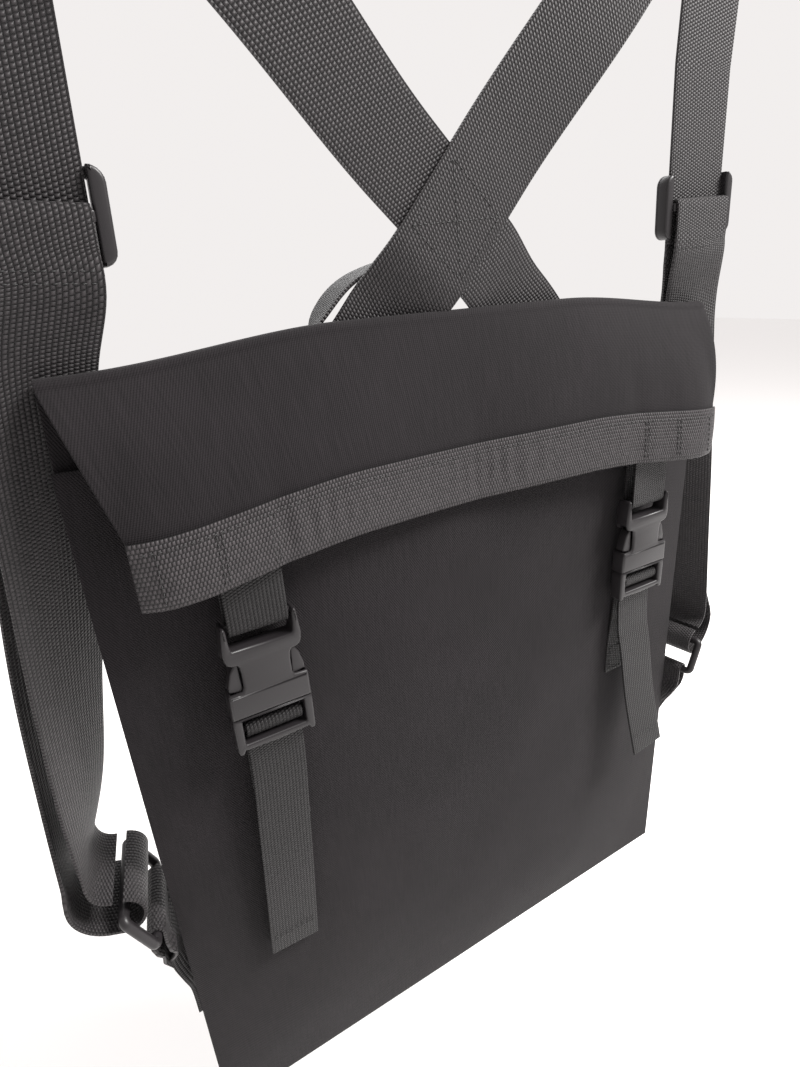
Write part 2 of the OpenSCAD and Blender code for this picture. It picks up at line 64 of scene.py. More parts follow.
MM = 0.001
ROOT = "bag_body"
SIDES = (("left", -1), ("right", 1))
FRONT = Vector((0, -1, 0))
BACK = Vector((0, 1, 0))

# heights above the fold
CROSS_RISE = 45 * MM
SLIDER_RISE = 50 * MM

ROUND_FOLD = 13 * MM      # cloth that goes round the fold
BINDING_TAPE = 27 * MM    # flat width of the tape on the mouth
HEM_TAPE = 56 * MM        # flat width of the webbing on the flap's edge
LADDER = -48.0            # the plug's ladder bar below the socket's bar, in millimetres
CROWN = 60 * MM           # height over which the panels turn in below their upper edges
EDGE = 25 * MM            # width over which the cloth flattens towards the seams


# ---------- settings ----------

def length(name, text, default, low=0.0, high=1.0):
    return FloatProperty(name=name, description=text, default=default, min=low, max=high,
                         subtype="DISTANCE", unit="LENGTH")


def colour(name, text, default):
    return FloatVectorProperty(name=name, description=text, default=default, size=3, min=0, max=1,
                               subtype="COLOR")


class BagSettings(PropertyGroup):
    width: length("Width", "Width over the side seams", 0.340)
    bulge: length("Bulge", "How far each panel stands off the seam plane", 0.0085)
    canvas: length("Canvas", "Thickness of the canvas", 0.0013)
    flap: length("Flap", "Length of the flap from the fold", 0.080)
    hem: length("Hem height", "Height of the webbing hem", 0.026)
    hem_half: length("Hem half width", "Half the length of the hem", 0.154)
    mid_out: length("Hem middle", "How far the hem's middle stands in front of the fold", 0.015)
    end_out: length("Hem ends", "How much further the hem's ends stand out", 0.016)
    arch: length("Fold arch", "How far the middle of the fold rises", 0.0085)


class StrapSettings(PropertyGroup):
    width: length("Width", "Width of the shoulder webbing", 0.040)
    thick: length("Thickness", "Thickness of the webbing", 0.0014)
    hang_half: length("Hanging half", "Half the distance between the hanging points", 0.155)
    loop_r: length("Loop radius", "Radius of the turn over the hanging points", 0.007)
    right_lean: FloatProperty(name="Right lean", description="Lean of the right strap's leg",
                              default=math.radians(49), subtype="ANGLE", unit="ROTATION")
    left_lean: FloatProperty(name="Left lean", description="Lean of the left strap's leg",
                             default=math.radians(43), subtype="ANGLE", unit="ROTATION")


class BuckleSettings(PropertyGroup):
    place: length("Place", "Distance of each buckle from the middle", 0.113)
    tape: length("Tape", "Width of the buckle webbing", 0.025)
    left_tail: length("Left tail", "Length of the left free tail", 0.133)
    right_tail: length("Right tail", "Length of the right free tail", 0.114)
    left_kick: length("Left kick", "How far the left tail's end stands off the bag", 0.004)
    right_kick: length("Right kick", "How far the right tail's end stands off the bag", 0.020)
    left_drift: length("Left drift", "How far out the left tail's end hangs", 0.007)
    right_drift: length("Right drift", "How far out the right tail's end hangs", 0.011)


class FinishSettings(PropertyGroup):
    canvas: colour("Canvas", "Colour of the canvas", (0.0068, 0.0055, 0.0063))
    webbing: colour("Webbing", "Colour of the webbing's ribs", (0.029, 0.0255, 0.027))
    # The colour between the webbing's ribs is painted shade of the recesses, not a darker yarn.
    gap_shade: colour("Webbing gaps", "Colour between the webbing's ribs", (0.002, 0.0018, 0.002))
    plastic: colour("Plastic", "Colour of the buckles, sliders and rings", (0.013, 0.0115, 0.0125))
    thread: colour("Thread", "Colour of the stitching", (0.012, 0.012, 0.012))
    floor: colour("Floor", "Colour of the floor", (0.95, 0.94, 0.935))


def settings():
    return bpy.context.scene.harness_bag


class HarnessSettings(PropertyGroup):
    bag: PointerProperty(type=BagSettings)
    strap: PointerProperty(type=StrapSettings)
    buckle: PointerProperty(type=BuckleSettings)
    finish: PointerProperty(type=FinishSettings)


# ---------- arithmetic ----------

def mix(a, b, u):
    return a + (b - a) * u


def clamp01(u):
    return max(0.0, min(1.0, u))


def ease(u):
    u = clamp01(u)
    return u * u * (3 - 2 * u)


def steps(a, b, n):
    return [mix(a, b, i / n) for i in range(n + 1)]


def arc(radius, start, end, n):
    """Pairs of coordinates along an arc given in degrees."""
    return [(radius * math.cos(math.radians(a)), radius * math.sin(math.radians(a)))
            for a in steps(start, end, n)]


def vec(x, y, z):
    """A place given in millimetres."""
    return Vector((x, y, z)) * MM


def smooth(stations, n):
    """Points along a smooth curve through (place, width direction) stations."""
    out = []
    last = len(stations) - 1
    for i in range(last):
        four = [stations[k] for k in (max(i - 1, 0), i, i + 1, min(i + 2, last))]
        for j in range(n):
            t = j / n
            out.append(tuple(0.5 * (2 * b + (c - a) * t + (2 * a - 5 * b + 4 * c - d) * t * t
                                    + (3 * b - a - 3 * c + d) * t ** 3)
                             for a, b, c, d in zip(*four)))
    out.append(stations[last])
    return out


def even(stations, pitch):
    """The same path with stations evenly spaced about pitch apart."""
    at = [0.0]
    for a, b in zip(stations, stations[1:]):
        at.append(at[-1] + (b[0] - a[0]).length)
    count = max(2, round(at[-1] / pitch))
    out = []
    k = 0
    for i in range(count + 1):
        s = at[-1] * i / count
        while k < len(at) - 2 and at[k + 1] < s:
            k += 1
        u = clamp01((s - at[k]) / max(at[k + 1] - at[k], 1e-9))
        out.append((mix(stations[k][0], stations[k + 1][0], u), mix(stations[k][1], stations[k + 1][1], u)))
    return out


# ---------- the bag's surfaces ----------

class Form:
    """Places on the bag, all in metres in the part's frame."""

    def __init__(self):
        s = settings()
        self.bag, self.strap, self.buckle = s.bag, s.strap, s.buckle
        low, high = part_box("back_panel")
        self.fold = high[2]
        self.bottom = low[2] - 2 * MM
        self.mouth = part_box("front_panel")[1][2]
        self.half = self.bag.width / 2
        self.seam = 4 * MM
        self.roll = 1.9 * MM
        self.hinge = Vector((0, 4.4 * MM, self.fold - 2.2 * MM))
        self.roll_half = 168 * MM
        self.hem_top = 1 - self.bag.hem / self.bag.flap
        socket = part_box("right_buckle_socket")
        self.buckle_y = (socket[0][1] + socket[1][1]) / 2
        self.buckle_z = self.fold - 99 * MM

    def fullness(self, x, z):
        return (1 - (abs(x) / self.half) ** 4) * (1 - (1 - clamp01((z - self.bottom) / (130 * MM))) ** 3)

    def arch(self, x):
        """Rise of the fold: a flat middle that falls away to both ends."""
        side = abs(x - 5 * MM)
        return self.bag.arch * (1 - ease((side - 60 * MM) / (104 * MM)))

    def edge(self, x, z):
        """0 at the side and bottom seams, 1 away from them."""
        return clamp01((self.half - abs(x)) / EDGE) * clamp01((z - self.bottom) / EDGE)

    def front(self, x, z):
        drape = (1.5 * noise.noise(Vector((x * 9, z * 7, 3.1)))
                 + 0.5 * noise.noise(Vector((x * 30, z * 22, 7.7)))) * MM
        top = ease((z - self.mouth) / CROWN + 1)
        return (self.seam - 0.8 * MM - self.bag.bulge * self.fullness(x, z) * mix(1, 0.8, top)
                + drape * self.edge(x, z) * (1 - top))

    def back(self, x, z):
        drape = 1.2 * noise.noise(Vector((x * 8, z * 6, 11.3))) * MM
        top = ease((z - self.fold) / CROWN + 1)
        rest = self.seam + 0.8 * MM
        return (rest + self.bag.bulge * self.fullness(x, z) * (1 - top)
                + (self.hinge.y + self.roll - rest) * top + drape * self.edge(x, z) * (1 - top))

    def hem_out(self, x):
        return self.bag.mid_out + self.bag.end_out * (abs(x) / self.bag.hem_half) ** 1.2

    def flap_half(self, u):
        return mix(self.roll_half, self.bag.hem_half, clamp01(u / self.hem_top))

    def flap_mid(self, x, u):
        """Middle of the flap: u below 0 goes round the fold, 0 to 1 goes down to the edge."""
        r = self.roll + 1.4 * MM
        lift = self.arch(x)
        if u < 0:
            a = math.radians(mix(180, -40, -u))
            return Vector((x, self.hinge.y + r * math.cos(a), self.hinge.z + lift + r * math.sin(a)))
        out = self.hem_out(x)
        drop = math.sqrt(self.bag.flap ** 2 - (out - r) ** 2)
        full = 1 - (1 - min(u, 1)) ** 2.2
        # the ends curl back, and the cloth ripples a little between the sewn tapes
        end = clamp01((abs(x) - 138 * MM) / (16 * MM))
        curl = 5.5 * MM * end ** 2 * ease(u)
        ripple = ease(u) * MM * (1.1 * noise.noise(Vector((x * 26, u * 1.3, 5.5)))
                                 + 0.7 * math.exp(-((abs(x) - 98 * MM) / (5 * MM)) ** 2)
                                 - 0.6 * math.exp(-((abs(x) - 130 * MM) / (7 * MM)) ** 2))
        return Vector((x, self.hinge.y - r - (out - r) * full + curl + ripple,
                       self.hinge.z + lift - drop * u))

    def on_flap(self, x, u, out):
        d = self.flap_mid(x, u + 0.01) - self.flap_mid(x, u - 0.01)
        return self.flap_mid(x, u) + Vector((0, d.z, -d.y)).normalized() * out


FORM = []


def form():
    if not FORM:
        FORM.append(Form())
    return FORM[0]


# ---------- mesh helpers ----------

def add_piece(name, bm, material, body, nodes):
    mesh = bpy.data.meshes.new(name)
    bmesh.ops.recalc_face_normals(bm, faces=bm.faces)
    bm.to_mesh(mesh)
    bm.free()
    for face in mesh.polygons:
        face.use_smooth = True
    obj = bpy.data.objects.new(name, mesh)
    bpy.context.scene.collection.objects.link(obj)
    mesh.materials.append(bpy.data.materials[material])
    if body:
        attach(obj, body)
    if nodes:
        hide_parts(*nodes)
    return obj


def grid(nx, ny, place, uv):
    """A sheet whose points are place(u, v) and whose flat coordinates are uv(u, v)."""
    bm = bmesh.new()
    bmesh.ops.create_grid(bm, x_segments=nx, y_segments=ny, size=1)
    layer = bm.loops.layers.uv.new("UVMap")
    flat = {}
    for v in bm.verts:
        flat[v] = ((v.co.x + 1) / 2, (v.co.y + 1) / 2)
    for v, (a, b) in flat.items():
        v.co = place(a, b)
    for face in bm.faces:
        for loop in face.loops:
            loop[layer].uv = uv(*flat[loop.vert])
    return bm


def thicken(obj, thick, bevel=0.0):
    solid = obj.modifiers.new("Thickness", "SOLIDIFY")
    solid.thickness = thick
    solid.offset = 0
    solid.use_even_offset = False
    if bevel:
        soft = obj.modifiers.new("Edges", "BEVEL")
        soft.width = bevel
        soft.segments = 2
        soft.limit_method = "ANGLE"
        soft.angle_limit = math.radians(50)
    return obj


def strip(name, stations, width, thick, body, nodes, material="Webbing", pitch=2.0 * MM):
    """A band of webbing along stations of (place, width direction)."""
    path = even(stations, pitch)
    last = len(path) - 1
    frames = []
    run = 0.0
    for i, (p, wide) in enumerate(path):
        ahead = (path[min(i + 1, last)][0] - path[max(i - 1, 0)][0]).normalized()
        side = (wide - wide.dot(ahead) * ahead).normalized()
        if i:
            run += (p - path[i - 1][0]).length
        frames.append((p, side, run))

    def place(u, v):
        p, side, _ = frames[round(v * last)]
        return p + side * (u - 0.5) * width

    def flat(u, v):
        return ((u - 0.5) * width, frames[round(v * last)][2])

    bm = grid(10, last, place, flat)
    return thicken(add_piece(name, bm, material, body, nodes), thick, 0.35 * MM)


def plate(name, outlines, thick, soft, matrix):
    """A flat plate with rounded edges from closed outlines in X and Z; the first is the outer one."""
    curve = bpy.data.curves.new(name, "CURVE")
    curve.dimensions = "2D"
    curve.fill_mode = "BOTH"
    curve.extrude = thick / 2 - soft
    curve.bevel_depth = soft
    curve.bevel_resolution = 2
    curve.offset = -soft
    for line in outlines:
        spline = curve.splines.new("POLY")
        spline.points.add(len(line) - 1)
        for point, (x, z) in zip(spline.points, line):
            point.co = (x, z, 0, 1)
        spline.use_cyclic_u = True
    return baked(curve, matrix @ Matrix.Rotation(math.radians(90), 4, "X"))


def rod(name, points, radius, matrix, closed=False):
    """A round bar along points."""
    curve = bpy.data.curves.new(name, "CURVE")
    curve.dimensions = "3D"
    curve.bevel_depth = radius
    curve.bevel_resolution = 5
    curve.use_fill_caps = not closed
    spline = curve.splines.new("POLY")
    spline.points.add(len(points) - 1)
    for point, place in zip(spline.points, points):
        point.co = (*place, 1)
    spline.use_cyclic_u = closed
    return baked(curve, matrix)


def baked(curve, matrix):
    obj = bpy.data.objects.new(curve.name, curve)
    bpy.context.scene.collection.objects.link(obj)
    deps = bpy.context.evaluated_depsgraph_get()
    mesh = bpy.data.meshes.new_from_object(obj.evaluated_get(deps))
    bpy.data.objects.remove(obj)
    bpy.data.curves.remove(curve)
    bm = bmesh.new()
    bm.from_mesh(mesh)
    bpy.data.meshes.remove(mesh)
    bmesh.ops.remove_doubles(bm, verts=bm.verts, dist=0.00001)
    bm.transform(matrix)
    bmesh.ops.recalc_face_normals(bm, faces=bm.faces)
    return bm


def merged(parts):
    """One bmesh from several."""
    whole = bmesh.new()
    for part in parts:
        mesh = bpy.data.meshes.new("part")
        part.to_mesh(mesh)
        part.free()
        whole.from_mesh(mesh)
        bpy.data.meshes.remove(mesh)
    return whole


def as_object(bm):
    mesh = bpy.data.meshes.new("part")
    bm.to_mesh(mesh)
    bm.free()
    obj = bpy.data.objects.new("part", mesh)
    bpy.context.scene.collection.objects.link(obj)
    return obj


def cut(bm, low, high):
    """The solid with a box taken out of it."""
    block = bmesh.new()
    bmesh.ops.create_cube(block, size=1,
                          matrix=Matrix.Translation((low + high) / 2) @ Matrix.Diagonal((*(high - low), 1)))
    parts = [as_object(bm), as_object(block)]
    tool = parts[0].modifiers.new("Cut", "BOOLEAN")
    tool.operation = "DIFFERENCE"
    tool.solver = "EXACT"
    tool.object = parts[1]
    deps = bpy.context.evaluated_depsgraph_get()
    done = bpy.data.meshes.new_from_object(parts[0].evaluated_get(deps))
    out = bmesh.new()
    out.from_mesh(done)
    bpy.data.meshes.remove(done)
    for obj in parts:
        mesh = obj.data
        bpy.data.objects.remove(obj)
        bpy.data.meshes.remove(mesh)
    return out


def rounded(x0, z0, x1, z1, r, n=5):
    """Outline of a rectangle with rounded corners."""
    corners = ((x1 - r, z1 - r), (x0 + r, z1 - r), (x0 + r, z0 + r), (x1 - r, z0 + r))
    return [(cx + x, cz + z) for i, (cx, cz) in enumerate(corners) for x, z in arc(r, 90 * i, 90 * i + 90, n)]


def both_sides(half):
    """A whole outline from its right half, which runs from the top middle to the bottom middle."""
    return half + [(-x, z) for x, z in reversed(half) if abs(x) > 1e-6]


def stitch_line(points, normals, pitch=2.8 * MM, long=2.1 * MM, wide=0.55 * MM):
    """Places for stitches along a line on a surface."""
    out = []
    run = 0.0
    aim = pitch / 2
    for (a, b), n in zip(zip(points, points[1:]), normals):
        step = (b - a).length
        while aim <= run + step and step > 0:
            out.append((a.lerp(b, (aim - run) / step), (b - a).normalized(), n, long, wide))
            aim += pitch
        run += step
    return out


def seam(corners, normal, n=12):
    """Stitches in straight lines from corner to corner."""
    out = []
    for a, b in zip(corners, corners[1:]):
        out += stitch_line([a.lerp(b, i / n) for i in range(n + 1)], [normal] * n)
    return out


def sew(name, stitches, body, nodes=()):
    """One piece of thread stitches, each a small flattened grain half sunk in the cloth."""
    bm = bmesh.new()
    for place, along, normal, long, wide in stitches:
        across = normal.cross(along).normalized()
        up = along.cross(across).normalized()
        turn = Matrix((across, along, up)).transposed().to_4x4()
        size = Matrix.Diagonal((wide / 2, long / 2, wide * 0.42, 1))
        bmesh.ops.create_icosphere(bm, subdivisions=1, radius=1,
                                   matrix=Matrix.Translation(place) @ turn @ size)
    return add_piece(name, bm, "Thread", body, nodes)


# ---------- strap paths, drawn for the right-hand side ----------

RUN_SLOPE = 0.048
RUN_WIDE = Vector((1, 0, RUN_SLOPE)).normalized()
RUN_DEPTH = 7 * MM
RING_TURN = math.radians(80)
RING_WIDE = Vector((math.cos(RING_TURN), -math.sin(RING_TURN), 0))
RING_N = Vector((-math.sin(RING_TURN), -math.cos(RING_TURN), 0))
RING_LOOP = 9 * MM
RING_PITCH = 22 * MM
RING_LEAN = math.radians(26)


def twist(degrees):
    """The webbing's width direction when it is turned towards the ring."""
    a = math.radians(degrees)
    return Vector((math.cos(a), -math.sin(a), 0))


def run_point(z):
    """The middle of the straight side run at a height."""
    slider = form().fold + SLIDER_RISE
    return Vector((form().strap.hang_half + 3.5 * MM + RUN_SLOPE * (slider - z), RUN_DEPTH, z))


def ring_point(h, v):
    """A place beside the ring's upper bar, h out of the ring's face and v up."""
    return vec(186, 14, 0) + Vector((0, 0, form().fold - 224 * MM)) + RING_N * h + Vector((0, 0, v))


def below_fold(x, y, z):
    """A place in millimetres, its height counted from the fold."""
    return vec(x, y, z) + Vector((0, 0, form().fold))


def over_path(side):
    """From the sewn end up through the crossing, over the hanging point and down the side."""
    f = form()
    s = f.strap
    lean = s.right_lean if side > 0 else s.left_lean
    tilt = (math.pi / 2 - lean) / 2
    cx = side * MM
    turn_drop = s.loop_r * math.pi / 2
    cross_z = f.fold + CROSS_RISE
    flat = 1.6 * MM if side > 0 else 1.6 * MM + s.thick + 0.25 * MM
    ahead = Vector((math.cos(lean), 0, math.sin(lean)))
    wide = Vector((math.sin(lean), 0, -math.cos(lean)))
    bar = Vector((math.cos(tilt), 0, -math.sin(tilt)))
    up = Vector((math.sin(tilt), 0, math.cos(tilt)))
    rise = (s.hang_half + turn_drop * math.sin(tilt) - cx) * math.tan(lean) - turn_drop * math.cos(tilt)
    mid = Vector((s.hang_half, 0, cross_z + rise))
    crossing = Vector((cx, 0, cross_z))
    leg = (mid + turn_drop * up - crossing).length - turn_drop / math.cos(tilt)
    behind = 9.1 * MM
    sewn = 16.6 * MM

    def depth(a):
        if a < 0:
            return mix(flat, behind, ease((-a - 20 * MM) / (32 * MM))) \
                + (sewn - behind) * ease((-a - 56 * MM) / (60 * MM))
        return mix(flat, -s.loop_r, ease((a - 32 * MM) / (90 * MM)))

    path = [(crossing + ahead * a + Vector((0, depth(a), 0)), wide)
            for a in steps(-118 * MM, leg - 10 * MM, 70)]
    advance = s.loop_r * math.tan(tilt) * math.pi / 180
    for a in steps(0, 180, 18):
        sa, ca = math.sin(math.radians(a)), math.cos(math.radians(a))
        path.append((mid + bar * advance * (a - 90) + s.loop_r * (sa * up - Vector((0, ca, 0))),
                     math.cos(tilt) * bar - math.sin(tilt) * (Vector((0, sa, 0)) + ca * up)))
    return path


def side_path():
    """From the loop down through the slider and on, twisting, round the ring."""
    f = form()
    top = f.fold + 112 * MM
    run = [(run_point(z), RUN_WIDE) for z in steps(top, f.fold + 30 * MM, 8)]
    drop = smooth([
        (run_point(f.fold + 30 * MM), RUN_WIDE),
        (below_fold(166.5, 11.6, 5), twist(2)),
        (below_fold(170.5, 18, -20), twist(8)),
        (below_fold(177, 24, -56), twist(24)),
        (below_fold(188.5, 30, -112), twist(44)),
        (below_fold(198, 29, -170), twist(62)),
        (ring_point(-20 * MM, 12 * MM), RING_WIDE)], 8)
    bend = [(ring_point((-20 + 18 * (1 - c)) * MM, (10 - 18 * s) * MM), RING_WIDE)
            for c, s in arc(1, 0, 80, 10)]
    eye = [(ring_point(h, v), RING_WIDE) for h, v in arc(RING_LOOP, -90, 80, 14)]
    return run + drop[1:] + bend + eye


def return_path():
    """The strap's end: round the slider's centre bar and down in front to the ring."""
    f = form()
    centre = run_point(f.fold + SLIDER_RISE) + vec(0, -3.8, 0)
    eye = 2.1 * MM
    hook = [(centre + Vector((0, eye, z * MM)), RUN_WIDE) for z in (-18, -12, -6)]
    hook += [(centre + Vector((0, y, 1.2 * MM + z)), RUN_WIDE) for y, z in arc(eye, 0, 180, 12)]
    down = smooth([
        (centre + Vector((0.5 * MM, -eye, -10 * MM)), RUN_WIDE),
        (run_point(f.fold + 28 * MM) + vec(0, -5.4, 0), RUN_WIDE),
        (below_fold(166.5, 8.4, 5), twist(2)),
        (below_fold(170, 11.6, -20), twist(10)),
        (below_fold(175, 14.6, -60), twist(28)),
        (below_fold(184, 17, -118), twist(48)),
        (below_fold(191, 17, -170), twist(62)),
        (ring_point(-11 * MM, RING_LOOP + 11 * MM), RING_WIDE)], 8)
    bend = [(ring_point((-10.6 + 9 * (1 - c)) * MM, RING_LOOP + (9 - 9 * s) * MM), RING_WIDE)
            for c, s in arc(1, 10, 84, 8)]
    return hook + down + bend


def tab_path():
    """Round the ring's lower bar, both ends down to the bag's back."""
    c = ring_point(RING_PITCH * math.sin(RING_LEAN), -RING_PITCH * math.cos(RING_LEAN))
    eye = 3.6 * MM
    sewn = below_fold(154, 13.6, -330)
    half = 0.95 * MM

    def layer(s):
        knee = sewn + vec(7, 4, 44)
        return [(sewn + Vector((0, -s * half, 0)), twist(0)),
                (sewn + vec(1, 0.4, 24) - Vector((0, s * half, 0)), twist(2)),
                (knee - Vector((0, s * half, 0)), twist(24)),
                (c.lerp(knee, 0.6) + vec(1, 2.5, 0) + RING_N * s * eye * 0.6, twist(46)),
                (c + RING_N * s * eye * 0.9 - vec(0, 0, 9), RING_WIDE)]

    turn = [(c + RING_N * h + Vector((0, 0, v)), RING_WIDE) for h, v in arc(eye, -20, 200, 14)]
    return smooth(layer(1), 8) + turn + smooth(layer(-1)[::-1], 8)


def mirrored(path, side):
    """The path itself, or its mirror image on the left."""
    if side > 0:
        return path
    flip = Vector((-1, 1, 1))
    return [(p * flip, -(w * flip)) for p, w in path]


# ---------- finishes ----------

def node_group(name, inputs, outputs):
    group = bpy.data.node_groups.new(name, "ShaderNodeTree")
    for kind, label in inputs:
        group.interface.new_socket(name=label, in_out="INPUT", socket_type=kind)
    for kind, label in outputs:
        group.interface.new_socket(name=label, in_out="OUTPUT", socket_type=kind)
    return group, group.nodes.new("NodeGroupInput"), group.nodes.new("NodeGroupOutput")


def maths(tree, operation, a, b=None):
    node = tree.nodes.new("ShaderNodeMath")
    node.operation = operation
    for socket, value in zip(node.inputs, (a, b)):
        if value is None:
            continue
        if isinstance(value, (int, float)):
            socket.default_value = value
        else:
            tree.links.new(value, socket)
    return node.outputs[0]


def weave_group():
    """Ribbed webbing: columns of slanting grains, every other one shifted; flat coordinates in metres. Shade
    puts painted shade on each grain, darker towards the gaps between grains, with a random tone per grain.
    """
    group, start, end = node_group("Weave", [("NodeSocketVector", "Flat"), ("NodeSocketFloat", "Column"),
                                             ("NodeSocketFloat", "Grain"), ("NodeSocketFloat", "Slant")],
                                   [("NodeSocketFloat", "Height"), ("NodeSocketFloat", "Shade")])
    op = partial(maths, group)
    split = group.nodes.new("ShaderNodeSeparateXYZ")
    group.links.new(start.outputs["Flat"], split.inputs[0])
    u = op("DIVIDE", split.outputs[0], start.outputs["Column"])
    column = op("FLOOR", u)
    across = op("FRACT", u)
    shift = op("MULTIPLY", op("FLOORED_MODULO", column, 2.0), 0.5)
    v = op("DIVIDE", split.outputs[1], start.outputs["Grain"])
    v = op("ADD", v, shift)
    v = op("ADD", v, op("MULTIPLY", across, start.outputs["Slant"]))
    row = op("FLOOR", v)
    along = op("FRACT", v)
    rise_u = op("POWER", op("SINE", op("MULTIPLY", across, math.pi)), 0.6)
    rise_v = op("POWER", op("SINE", op("MULTIPLY", along, math.pi)), 0.7)
    height = op("MULTIPLY", rise_u, rise_v)
    pair = group.nodes.new("ShaderNodeCombineXYZ")
    group.links.new(column, pair.inputs[0])
    group.links.new(row, pair.inputs[1])
    speck = group.nodes.new("ShaderNodeTexWhiteNoise")
    speck.noise_dimensions = "3D"
    group.links.new(pair.outputs[0], speck.inputs["Vector"])
    # painted shade: the colour falls from each grain's top to the dark gaps with its height; the white-noise
    # speck is a random tone per grain
    shade = op("MULTIPLY", height, op("ADD", 0.72, op("MULTIPLY", speck.outputs["Value"], 0.42)))
    group.links.new(height, end.inputs["Height"])
    group.links.new(shade, end.inputs["Shade"])
    return group


def twill_group():
    """Fine twill from flat coordinates in metres, with faint streaks along the warp."""
    group, start, end = node_group("Twill", [("NodeSocketVector", "Flat")],
                                   [("NodeSocketFloat", "Height"), ("NodeSocketFloat", "Shade")])
    op = partial(maths, group)
    split = group.nodes.new("ShaderNodeSeparateXYZ")
    group.links.new(start.outputs["Flat"], split.inputs[0])
    slope = op("ADD", split.outputs[0], op("MULTIPLY", split.outputs[1], 0.62))
    rib = op("SINE", op("MULTIPLY", slope, 2 * math.pi / (1.05 * MM)))
    weft = op("SINE", op("MULTIPLY", split.outputs[1], 2 * math.pi / (0.8 * MM)))
    height = op("ADD", op("MULTIPLY", rib, 0.35), op("MULTIPLY", weft, 0.15))
    scaled = group.nodes.new("ShaderNodeVectorMath")
    scaled.operation = "MULTIPLY"
    scaled.inputs[1].default_value = (900, 60, 1)
    group.links.new(start.outputs["Flat"], scaled.inputs[0])
    streak = group.nodes.new("ShaderNodeTexNoise")
    streak.inputs["Scale"].default_value = 1.0
    streak.inputs["Detail"].default_value = 2.0
    group.links.new(scaled.outputs[0], streak.inputs["Vector"])
    cloud = group.nodes.new("ShaderNodeTexNoise")
    cloud.inputs["Scale"].default_value = 18.0
    group.links.new(start.outputs["Flat"], cloud.inputs["Vector"])
    shade = op("ADD", op("MULTIPLY", streak.outputs["Fac"], 0.6), op("MULTIPLY", cloud.outputs["Fac"], 0.4))
    group.links.new(op("ADD", height, op("MULTIPLY", streak.outputs["Fac"], 0.5)), end.inputs["Height"])
    group.links.new(shade, end.inputs["Shade"])
    return group


def new_material(name, base, roughness):
    material = bpy.data.materials.new(name)
    material.use_nodes = True
    shader = material.node_tree.nodes["Principled BSDF"]
    shader.inputs["Base Color"].default_value = (*base, 1)
    shader.inputs["Roughness"].default_value = roughness
    material.diffuse_color = (*base, 1)
    return material, shader


def bumped(material, shader, height, distance, strength=1.0):
    bump = material.node_tree.nodes.new("ShaderNodeBump")
    bump.inputs["Distance"].default_value = distance
    bump.inputs["Strength"].default_value = strength
    material.node_tree.links.new(height, bump.inputs["Height"])
    material.node_tree.links.new(bump.outputs["Normal"], shader.inputs["Normal"])


def tinted(material, shader, shade, low, high):
    ramp = material.node_tree.nodes.new("ShaderNodeMix")
    ramp.data_type = "RGBA"
    ramp.inputs["A"].default_value = (*low, 1)
    ramp.inputs["B"].default_value = (*high, 1)
    material.node_tree.links.new(shade, ramp.inputs["Factor"])
    material.node_tree.links.new(ramp.outputs["Result"], shader.inputs["Base Color"])


def flat_coordinates(material):
    node = material.node_tree.nodes.new("ShaderNodeUVMap")
    node.uv_map = "UVMap"
    return node.outputs[0]


def woven(name, group, column, grain, slant, depth, painted_light_scale=1.0):
    f = settings().finish
    # painted light and shade: the whole webbing colour is scaled up for a lit copy and down for a shaded copy
    ribs = tuple(c * painted_light_scale for c in f.webbing)
    material, shader = new_material(name, ribs, 0.52)
    node = material.node_tree.nodes.new("ShaderNodeGroup")
    node.node_tree = group
    node.inputs["Column"].default_value = column
    node.inputs["Grain"].default_value = grain
    node.inputs["Slant"].default_value = slant
    material.node_tree.links.new(flat_coordinates(material), node.inputs["Flat"])
    # painted shade: the grains fade to the dark gap colour towards their edges
    tinted(material, shader, node.outputs["Shade"], f.gap_shade, ribs)
    bumped(material, shader, node.outputs["Height"], depth)
    shader.inputs["Specular IOR Level"].default_value = 0.22
    shader.inputs["Sheen Weight"].default_value = 0.02
    shader.inputs["Sheen Roughness"].default_value = 0.5


